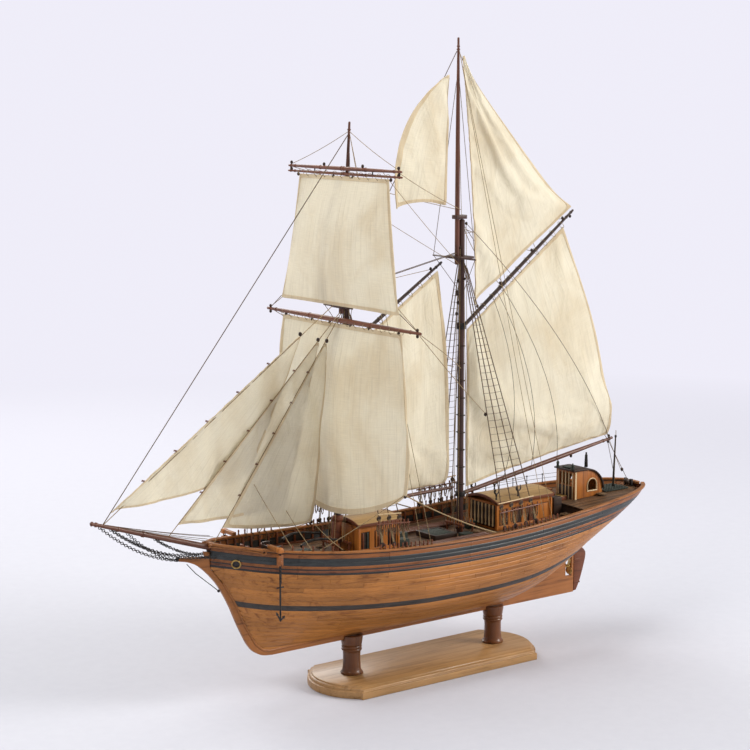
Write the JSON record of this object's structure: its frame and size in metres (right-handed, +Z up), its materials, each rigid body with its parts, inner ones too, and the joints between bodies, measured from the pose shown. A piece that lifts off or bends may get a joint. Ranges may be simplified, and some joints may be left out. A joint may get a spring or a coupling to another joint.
{
  "type": "model sailing ship",
  "caption": "Wooden display model of a two-masted topsail schooner with cloth sails and cord rigging, on a moulded plinth with turned columns.",
  "frame": {"origin": "centre of the flat underside of the stand", "axes": "+Z up, -X towards the bow, -Y towards the port side"},
  "size_m": [0.8496, 0.322, 0.804],
  "materials": {
    "honey_oak": "oiled, satin",
    "plinth": "satin lacquer",
    "mahogany": "satin lacquer",
    "dark_wood": "stained dark, satin",
    "deck_wood": "matt",
    "roof_wood": "satin",
    "orange_wood": "satin",
    "black_iron": "blackened",
    "brass": "worn",
    "sailcloth": "plain weave cotton, translucent",
    "cordage": "laid cord"
  },
  "bodies": {
    "hull": {"stand_base": "plinth", "stand_column_fore": "mahogany", "stand_column_aft": "mahogany", "keel": "honey_oak", "hull_shell": "honey_oak", "rail_cap": "mahogany", "main_deck": "deck_wood", "quarter_deck": "deck_wood", "bowsprit": "mahogany", "fore_lower_mast": "dark_wood", "main_lower_mast": "dark_wood", "fore_topmast": "mahogany", "main_topmast": "mahogany", "fore_top": "dark_wood", "main_top": "dark_wood", "fore_cap": "dark_wood", "main_cap": "dark_wood", "flying_jib": "sailcloth", "jib": "sailcloth", "fore_staysail": "sailcloth", "topmast_staysail": "sailcloth", "fore_deckhouse": "orange_wood", "fore_deckhouse_roof": "roof_wood", "main_deckhouse": "orange_wood", "main_deckhouse_roof": "roof_wood", "wheelhouse": "orange_wood", "wheelhouse_roof": "dark_wood", "wheel_pedestal": "mahogany", "stovepipe": "black_iron", "companion": "orange_wood", "skylight": "mahogany", "cargo_hatch": "dark_wood", "windlass_frame": "dark_wood", "cathead_port": "mahogany", "cathead_starboard": "mahogany", "ensign_staff": "black_iron", "stern_reel": "dark_wood", "main_shrouds_port": "cordage", "main_shrouds_starboard": "cordage", "fore_shrouds_port": "cordage", "fore_shrouds_starboard": "cordage", "fore_topmast_stay": "cordage"},
    "rudder": {"rudder": "mahogany"},
    "propeller": {"propeller": "brass"},
    "steering_wheel": {"steering_wheel": "brass"},
    "windlass": {"windlass_barrel": "mahogany"},
    "main_boom": {"main_boom": "mahogany", "mainsail": "sailcloth"},
    "main_gaff": {"main_gaff": "dark_wood", "gaff_topsail": "sailcloth"},
    "fore_boom": {"fore_boom": "mahogany", "foresail": "sailcloth"},
    "fore_gaff": {"fore_gaff": "dark_wood"},
    "fore_yard": {"fore_yard": "mahogany", "course": "sailcloth"},
    "topsail_yard": {"topsail_yard": "mahogany", "topsail_head_spar": "mahogany", "topsail": "sailcloth"},
    "anchor_port": {"anchor_port": "black_iron"},
    "anchor_starboard": {"anchor_starboard": "black_iron"}
  },
  "joints": [
    {"name": "rudder_swing", "type": "hinge", "parent": "hull", "child": "rudder", "pos_m": [0.2576, 0, 0.09], "axis": [0, 0, 1], "range_deg": [-35, 35]},
    {"name": "propeller_spin", "type": "hinge", "parent": "hull", "child": "propeller", "pos_m": [0.2466, 0, 0.098], "axis": [1, 0, 0], "continuous": true},
    {"name": "steering_wheel_spin", "type": "hinge", "parent": "hull", "child": "steering_wheel", "pos_m": [0.262, 0, 0.209], "axis": [1, 0, 0], "continuous": true},
    {"name": "windlass_spin", "type": "hinge", "parent": "hull", "child": "windlass", "pos_m": [-0.232, 0, 0.19232], "axis": [0, 1, 0], "continuous": true},
    {"name": "main_boom_swing", "type": "hinge", "parent": "hull", "child": "main_boom", "pos_m": [0.058, 0, 0.2225], "axis": [0, 0, 1], "range_deg": [-8, 8]},
    {"name": "main_gaff_swing", "type": "hinge", "parent": "hull", "child": "main_gaff", "pos_m": [0.058, 0, 0.44], "axis": [0, 0, 1], "range_deg": [-8, 8]},
    {"name": "fore_boom_swing", "type": "hinge", "parent": "hull", "child": "fore_boom", "pos_m": [-0.13571, 0, 0.228], "axis": [0.0559, 0, 0.9984], "range_deg": [-8, 8]},
    {"name": "fore_gaff_swing", "type": "hinge", "parent": "hull", "child": "fore_gaff", "pos_m": [-0.12457, 0, 0.427], "axis": [0.0559, 0, 0.9984], "range_deg": [-8, 8]},
    {"name": "fore_yard_brace", "type": "hinge", "parent": "hull", "child": "fore_yard", "pos_m": [-0.12258, 0, 0.4625], "axis": [0.0559, 0, 0.9984], "range_deg": [-6, 6]},
    {"name": "topsail_yard_brace", "type": "hinge", "parent": "hull", "child": "topsail_yard", "pos_m": [-0.1199, 0, 0.646], "axis": [0.0559, 0, 0.9984], "range_deg": [-6, 6]},
    {"name": "anchor_port_hang", "type": "hinge", "parent": "hull", "child": "anchor_port", "pos_m": [-0.262, -0.0615, 0.2045], "axis": [1, 0, 0], "range_deg": [-25, 8]},
    {"name": "anchor_starboard_hang", "type": "hinge", "parent": "hull", "child": "anchor_starboard", "pos_m": [-0.262, 0.0615, 0.2045], "axis": [1, 0, 0], "range_deg": [-8, 25]}
  ],
  "couplings": [
    {"joint": "main_gaff_swing", "follows": "main_boom_swing", "ratio": 1},
    {"joint": "fore_gaff_swing", "follows": "fore_boom_swing", "ratio": 1},
    {"joint": "topsail_yard_brace", "follows": "fore_yard_brace", "ratio": 1}
  ]
}
